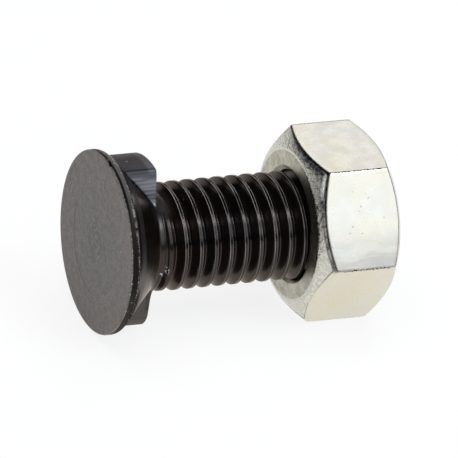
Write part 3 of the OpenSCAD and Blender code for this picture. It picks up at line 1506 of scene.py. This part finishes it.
    def material(self, effects: EffectLibrary) -> bpy.types.Material:
        """Builds the finish.

        Args:
            effects: Shared surface effects.

        Returns:
            The material.
        """
        surface = Surface("black_oxide", effects)
        graph = surface.graph
        grain = surface.effect(Effect.GRAIN, Size=self.grain_mm)
        rings = surface.effect(Effect.RINGS, Spacing=self.tool_mm, Swirl=self.swirl_mm)
        tone, radius = grain["Tone"], rings["Radius"]
        zones = self.zones(surface, radius)
        scrapes = self.scrapes.mask(surface)
        scrape_and_sheen = self.scrape_and_sheen(surface, zones, radius, scrapes)
        upper_lift = self.upper_lift(surface, zones, tone)
        lips = self.lips(surface, zones, tone)
        bare = self.bared(surface, zones, lips)
        rusty = graph.times(self.rust_band.mask(graph, surface.height), self.rust_share)
        colour = graph.blend(rusty, graph.blend(tone, self.black, self.brown), self.rust)
        colour = graph.blend(zones.face, colour, self.struck_face(surface, rings))
        # Scraped colour, with a warm copy on the lower side as a painted reflection.
        colour = graph.blend(scrape_and_sheen, colour, graph.blend(zones.lower, self.scraped, self.scraped_lower_sheen))
        # Painted shade on the rim wall, the upper cone and behind the lower rim.
        colour = graph.blend(self.painted_shade(surface, zones), colour, self.shade_black)
        # Upper rim wall lighter as painted light, and upper neck lighter.
        colour = graph.blend(upper_lift, colour, self.lift_grey)
        colour = graph.blend(bare, colour, self.bare)
        metal = graph.minus(
            graph.most(graph.times(bare, self.bare_metal), graph.lerp(zones.face, self.oxide_metal, 0.0)),
            graph.times(scrape_and_sheen, self.scrape_and_sheen_matt),
            # Less metallic crest lips read as light lines, a painted highlight.
            graph.times(lips, self.lip_glint_matt),
            graph.times(upper_lift, self.lift_matt),
        )
        sheen = graph.lerp(zones.face, graph.lerp(tone, *self.oxide_rough), self.face_rough)
        dull = graph.most(zones.wall, graph.times(zones.nib_end, self.nib_end_dull))
        rough = graph.plus(
            graph.minus(sheen, graph.times(zones.crests, self.oil)),
            graph.times(dull, self.wall_dull),
            graph.times(zones.behind, self.behind_dull),
        )
        uneven = graph.noise(graph.scaled(surface.position, self.knock_mm), detail=2.0, roughness=0.5)
        relief = graph.plus(
            grain["Height"],
            graph.times(zones.face, rings["Height"], self.ring_relief),
            graph.times(surface.zone, scrapes),
            graph.times(zones.rim, uneven, self.knock_relief),
        )
        results = {
            "Base Color": colour,
            "Metallic": metal,
            "Roughness": rough,
            "Specular Tint": (*self.warm_sheen, 1.0),
        }
        return surface.close(relief, self.bump_mm, results)


@dataclass(frozen=True)
class ZincPlate:
    """Bright zinc with a thin clear film: creamy satin flats, coarse turned ends, small pits, dark edges.

    Sides are places across the nut, and reaches are distances, all in mm.
    """

    cream: Colour = (0.745, 0.695, 0.545)
    cool: Colour = (0.74, 0.71, 0.60)
    cool_patches: Mottle = Mottle(3.5, 1.0, 0.4, (0.35, 0.7))
    blush: Colour = (0.76, 0.69, 0.59)
    blush_patches: Mottle = Mottle(2.45, 1.0, 0.4, (0.5, 0.75))
    blush_share: float = 0.5
    bearing: Colour = (0.53, 0.515, 0.42)
    bearing_dark: Colour = (0.33, 0.31, 0.25)
    smudges: Mottle = Mottle(1.1, 4.0, 0.7, (0.38, 0.7))
    shoulder_dark: Colour = (0.56, 0.55, 0.49)
    shoulder_light: Colour = (0.82, 0.80, 0.70)
    flecks: Mottle = Mottle(0.34, 1.0, 0.5, (0.48, 0.64))
    grime: Colour = (0.06, 0.06, 0.065)
    rub_grey: Colour = (0.47, 0.44, 0.385)
    rub_sides: tuple[Span, Span] = ((-4.4, -0.5), (0.1, -0.1))
    rub_across: Span = (-7.6, -8.6)
    rub_smears: Mottle = Mottle((1.1, 1.1, 6.0), 3.0, 0.6, (0.35, 0.62))
    rub_smear_share: Span = (0.45, 1.0)
    rub_share: float = 0.9
    crown_from: float = 8.4
    crown: float = 0.085
    # Painted shade on the bevel beside the flats: its colour, where it reaches and how it breaks up.
    bevel_shade: Colour = (0.085, 0.085, 0.09)
    bevel_shade_start: Span = (0.02, 0.08)
    bevel_shade_full: float = 0.22
    bevel_shade_wide: Span = (0.62, 1.15)
    bevel_shade_upper: Span = (-3.5, -7.0)
    bevel_shade_lower: Span = (0.5, -0.2)
    bevel_shade_near: Span = (6.0, -3.0)
    bevel_shade_strength: Span = (1.5, 2.0)
    bevel_shade_breaks: Mottle = Mottle(0.5, 3.0, 0.6, (0.4, 0.6))
    bevel_shade_share: Span = (0.36, 0.65)
    flat_turns: tuple[float, ...] = (0.0, 60.0, 120.0)
    flat_reach: float = 9.35
    middle: float = 27.3
    # Painted highlight: one bright streak on the bevel near an upper corner.
    gleam: Colour = (0.93, 0.92, 0.87)
    gleam_at: Point = (-8.1, -5.8, 23.35)
    gleam_way: float = -24.0
    gleam_half: Span = (1.9, 0.52)
    gleam_core: float = 0.4
    gleam_zone: Span = (0.0, 0.1)
    pits: Specks = Specks(0.62, 0.2, 0.5)
    pits_at: Point = (-4.7, -8.1, 27.2)
    pits_reach: Span = (4.6, 1.38)
    pit_dirt: float = 0.45
    pit_depth: float = 0.6
    ends_zone: Span = (0.1, 0.4)
    shoulder_zone: Span = (0.6, 0.9)
    wear_mm: float = 0.25
    wear_amount: float = 0.32
    satin: Span = (0.24, 0.32)
    ends_dull: float = 0.1
    shoulder_rough: Span = (0.16, 0.5)
    grain_mm: float = 0.13
    flats_relief: float = 0.7
    bearing_relief: float = 1.5
    coarse_mm: float = 0.55
    coarse_side: Span = (3.0, -2.0)
    coarse_relief: Span = (6.0, 12.0)
    bump_mm: float = 0.012

    def flats_colour(self, surface: Surface) -> Socket:
        """Cream with slow patches that turn cooler or faintly pink, and a grey rub beside one corner.

        Args:
            surface: Sockets of the material.

        Returns:
            The colour.
        """
        graph = surface.graph
        tinted = graph.blend(self.cool_patches.mask(surface), self.cream, self.cool)
        pinker = graph.times(self.blush_patches.mask(surface), self.blush_share)
        filmed = graph.blend(pinker, tinted, self.blush)
        rub = graph.times(
            *(graph.ease(surface.sideways, *side) for side in self.rub_sides),
            graph.ease(surface.across, *self.rub_across),
            graph.lerp(self.rub_smears.mask(surface), *self.rub_smear_share),
            self.rub_share,
        )
        return graph.blend(rub, filmed, self.rub_grey)

    def crowned(self, surface: Surface) -> Socket:
        """Fall of the bevel, which grows away from the bearing face.

        Args:
            surface: Sockets of the material.

        Returns:
            The fall, counted in steps of the bump.
        """
        graph = surface.graph
        radius = graph.vector("LENGTH", graph.combined(surface.sideways, surface.across))
        past = graph.most(graph.minus(radius, self.crown_from), 0.0)
        return graph.times(past, past, self.crown / self.bump_mm)

    def painted_bevel_shade(self, surface: Surface) -> Socket:
        """Painted shade on the bevel beside the flats, heavier towards one upper corner.

        Args:
            surface: Sockets of the material.

        Returns:
            The share of painted shade.
        """
        graph, sideways = surface.graph, surface.sideways
        ways = [(math.cos(turn), math.sin(turn), 0.0) for turn in map(math.radians, self.flat_turns)]
        along = [graph.vector("DOT_PRODUCT", surface.position, way) for way in ways]
        inside = graph.minus(self.flat_reach, graph.most(*(graph.of("ABSOLUTE", step) for step in along)))
        upper = graph.ease(sideways, *self.bevel_shade_upper)
        light, heavy = self.bevel_shade_strength
        lower = graph.times(graph.ease(sideways, *self.bevel_shade_lower), light)
        return graph.times(
            graph.ease(inside, *self.bevel_shade_start),
            graph.ease(inside, graph.lerp(upper, *self.bevel_shade_wide), self.bevel_shade_full),
            graph.of("LESS_THAN", surface.height, self.middle),
            graph.lerp(upper, lower, heavy),
            graph.ease(surface.across, *self.bevel_shade_near),
            graph.lerp(self.bevel_shade_breaks.mask(surface), *self.bevel_shade_share),
        )

    def gleaming(self, surface: Surface) -> Socket:
        """One bright streak on the bevel, a painted highlight.

        Args:
            surface: Sockets of the material.

        Returns:
            The share of painted highlight.
        """
        graph, way = surface.graph, math.radians(self.gleam_way)
        offset = graph.vector("SUBTRACT", surface.position, self.gleam_at)
        shares = [graph.ease(surface.zone, *self.gleam_zone)]
        for half, heading in zip(self.gleam_half, (way, way + math.pi / 2)):
            along = graph.vector("DOT_PRODUCT", offset, (math.cos(heading), math.sin(heading), 0.0))
            shares.append(graph.ease(graph.of("ABSOLUTE", along), half, self.gleam_core * half))
        return graph.times(*shares)

    def pitted(self, surface: Surface) -> Socket:
        """Pits that lie together on one flat."""
        away = surface.graph.vector("DISTANCE", surface.position, self.pits_at)
        return surface.graph.times(self.pits.mask(surface), surface.graph.ease(away, *self.pits_reach))

    def material(self, effects: EffectLibrary) -> bpy.types.Material:
        """Builds the finish.

        Args:
            effects: Shared surface effects.

        Returns:
            The material.
        """
        surface = Surface("zinc_plate", effects)
        graph, zone = surface.graph, surface.zone
        ends = graph.ease(zone, *self.ends_zone)
        shoulder = graph.ease(zone, *self.shoulder_zone)
        grain = surface.effect(Effect.GRAIN, Size=self.grain_mm)
        coarse = surface.effect(Effect.GRAIN, Size=self.coarse_mm)
        worn = {"Edge": surface.edge, "Chip": self.wear_mm, "Amount": self.wear_amount}
        wear = surface.effect(Effect.EDGE_WEAR, **worn)
        fleck = self.flecks.mask(surface)
        bright = self.gleaming(surface)
        pits = self.pitted(surface)
        smudged = graph.blend(self.smudges.mask(surface), self.bearing, self.bearing_dark)
        flecked = graph.blend(fleck, self.shoulder_dark, self.shoulder_light)
        turned = graph.blend(shoulder, smudged, flecked)
        colour = graph.blend(ends, self.flats_colour(surface), turned)
        # Painted shade on the bevel beside the flats.
        colour = graph.blend(self.painted_bevel_shade(surface), colour, self.bevel_shade)
        # Painted highlight on the bevel.
        colour = graph.blend(bright, colour, self.gleam)
        dirt = graph.most(wear["Mask"], graph.times(pits, self.pit_dirt))
        colour = graph.blend(dirt, colour, self.grime)
        satin = graph.plus(graph.lerp(grain["Tone"], *self.satin), graph.times(ends, self.ends_dull))
        rough = graph.lerp(shoulder, satin, graph.lerp(fleck, *self.shoulder_rough))
        fine = graph.times(grain["Height"], self.flats_relief)
        smooth = graph.minus(fine, graph.times(pits, self.pit_depth))
        coarser = graph.lerp(graph.ease(surface.sideways, *self.coarse_side), *self.coarse_relief)
        fall = graph.lerp(bright, self.crowned(surface), 0.0)
        lumpy = graph.minus(graph.times(coarse["Height"], coarser), fall)
        pebbled = graph.lerp(shoulder, graph.times(grain["Height"], self.bearing_relief), lumpy)
        results = {"Base Color": colour, "Roughness": rough, "Metallic": 1.0}
        return surface.close(graph.lerp(ends, smooth, pebbled), self.bump_mm, results)


@dataclass(frozen=True)
class Softbox:
    """A square lamp with a diffuser, aimed at the part."""

    name: str
    azimuth: float
    elevation: float
    distance: float
    width: float
    radiance: float
    colour: Colour = (1.0, 1.0, 1.0)
    mirrored: bool = True

    def build(self, aim: Vector) -> bpy.types.Object:
        """Hangs the lamp.

        Args:
            aim: Point that it looks at.

        Returns:
            The lamp.
        """
        lamp = bpy.data.lights.new(self.name, "AREA")
        lamp.shape = "SQUARE"
        lamp.size = self.width
        lamp.energy = math.pi * self.width**2 * self.radiance
        lamp.color = self.colour
        hung = bpy.data.objects.new(self.name, lamp)
        away = outward(self.azimuth, self.elevation)
        hung.location = aim + away * self.distance
        hung.rotation_euler = away.to_track_quat("Z", "Y").to_euler()
        hung.visible_camera = False
        hung.visible_glossy = self.mirrored
        bpy.context.scene.collection.objects.link(hung)
        return hung


def outward(azimuth: float, elevation: float) -> Vector:
    """Direction from the part to a viewer, where azimuth 0 looks along +Y."""
    turn, lift = math.radians(azimuth), math.radians(elevation)
    return Vector((math.sin(turn) * math.cos(lift), -math.cos(turn) * math.cos(lift), math.sin(lift)))


@dataclass(frozen=True)
class Studio:
    """White table, softboxes and a dim room."""

    floor_size: float = 8.0
    back_rise: float = 5.0
    left_rise: float = 22.0
    floor_white: float = 0.9
    floor_glow: float = 0.85
    room: Colour = (0.042, 0.048, 0.058)
    lamps: tuple[Softbox, ...] = (
        Softbox("key_softbox", 30.0, 37.0, 0.9, 0.8, 1.56, (0.82, 0.88, 1.0)),
        Softbox("core_softbox", 35.0, 48.0, 0.9, 0.22, 8.0, (0.84, 0.9, 1.0)),
        Softbox("back_softbox", 150.0, 36.0, 1.0, 0.6, 1.34, (0.90, 0.92, 1.0)),
        Softbox("fill_softbox", 0.0, 89.0, 1.6, 2.0, 2.3, mirrored=False),
    )

    def build(self, aim: Vector) -> None:
        """Sets up floor, lamps and room.

        Args:
            aim: Point that the lamps look at.
        """
        self.build_floor()
        for lamp in self.lamps:
            lamp.build(aim)
        world = bpy.data.worlds.new("room")
        world.use_nodes = True
        world.node_tree.nodes["Background"].inputs["Color"].default_value = (*self.room, 1.0)
        bpy.context.scene.world = world

    def build_floor(self) -> bpy.types.Object:
        """Lays the white table, with a wall at its left and one at its back.

        Returns:
            The floor.
        """
        mesh = bpy.data.meshes.new("table")
        reach = self.floor_size / 2
        left, back = (reach * math.tan(math.radians(rise)) for rise in (self.left_rise, self.back_rise))
        corners = [(-reach, -reach, 0.0), (reach, -reach, 0.0), (reach, reach, 0.0), (-reach, reach, 0.0)]
        corners += [(-reach, -reach, left), (-reach, reach, left)]
        corners += [(-reach, reach, back), (reach, reach, back)]
        mesh.from_pydata(corners, [], [(0, 1, 2, 3), (0, 3, 5, 4), (3, 2, 7, 6)])
        floor = bpy.data.objects.new("table", mesh)
        bpy.context.scene.collection.objects.link(floor)
        mesh.materials.append(self.white_table())
        return floor

    def white_table(self) -> bpy.types.Material:
        """Matt white that keeps the shadow of the part, and that viewer and metal see as white.

        Returns:
            The material.
        """
        white = bpy.data.materials.new("white_table")
        white.use_nodes = True
        graph = Graph(white.node_tree)
        nodes = white.node_tree.nodes
        nodes.remove(nodes["Principled BSDF"])
        rays = graph.add("ShaderNodeLightPath").outputs
        seen = graph.most(rays["Is Camera Ray"], rays["Is Glossy Ray"], rays["Is Transmission Ray"])
        matt = graph.add("ShaderNodeBsdfDiffuse", {"Color": (*[self.floor_white] * 3, 1.0)}).outputs[0]
        glow = graph.add("ShaderNodeEmission", {"Strength": 1.0}).outputs[0]
        share = graph.times(seen, self.floor_glow)
        mixed = graph.add("ShaderNodeMixShader", {0: share, 1: matt, 2: glow}).outputs[0]
        graph.join(mixed, nodes["Material Output"].inputs["Surface"])
        return white


@dataclass(frozen=True)
class PhotoCamera:
    """Camera at the viewing angle of the photo, far away behind a long lens."""

    azimuth: float = -25.933
    elevation: float = 29.771
    roll: float = -7.001
    distance: float = 1.1
    pixels_per_mm: float = 9.244
    anchor_mm: float = 16.0
    anchor_px: Span = (232.24, 229.53)
    image_px: float = 458.0
    sensor_mm: float = 36.0
    clip: Span = (0.05, 20.0)

    def build(self, rest: RestFrame) -> bpy.types.Object:
        """Sets up the camera.

        Args:
            rest: Where the bolt lies.

        Returns:
            The camera.
        """
        back = outward(self.azimuth, self.elevation)
        level = Vector((0.0, 0.0, 1.0)).cross(back).normalized()
        upright = back.cross(level)
        lean = math.radians(self.roll)
        up = upright * math.cos(lean) + level * math.sin(lean)
        right = up.cross(back)
        anchor = rest.head_face + rest.along * self.anchor_mm * MM
        middle = self.image_px / 2
        shift_right = (middle - self.anchor_px[0]) / self.pixels_per_mm * MM
        shift_up = (self.anchor_px[1] - middle) / self.pixels_per_mm * MM
        aim = anchor + right * shift_right + up * shift_up
        data = bpy.data.cameras.new("photo_camera")
        data.sensor_width = self.sensor_mm
        data.lens = self.sensor_mm * self.pixels_per_mm / MM * self.distance / self.image_px
        data.clip_start, data.clip_end = self.clip
        camera = bpy.data.objects.new("photo_camera", data)
        turn = Matrix((right, up, back)).transposed().to_4x4()
        camera.matrix_world = Matrix.Translation(aim + back * self.distance) @ turn
        bpy.context.scene.collection.objects.link(camera)
        bpy.context.scene.camera = camera
        return camera


def main() -> None:
    """Builds the bolt, the nut, the studio and the camera."""
    logging.basicConfig(level=logging.INFO, format="%(name)s: %(message)s")
    rest = RestFrame.from_record(frame["record"])
    place = rest.matrix()
    effects = EffectLibrary()
    for shape, finish in ((PlowBolt(), BlackOxide()), (HexNut(), ZincPlate())):
        piece = shape.build(place)
        piece.data.materials.append(finish.material(effects))
        LOG.info("%s: %d faces", piece.name, len(piece.data.polygons))
    PhotoCamera().build(rest)
    low, high = cad_box
    Studio().build((low + high) / 2)
    bpy.context.scene.view_settings.view_transform = "Standard"


if __name__ == "__main__":
    main()
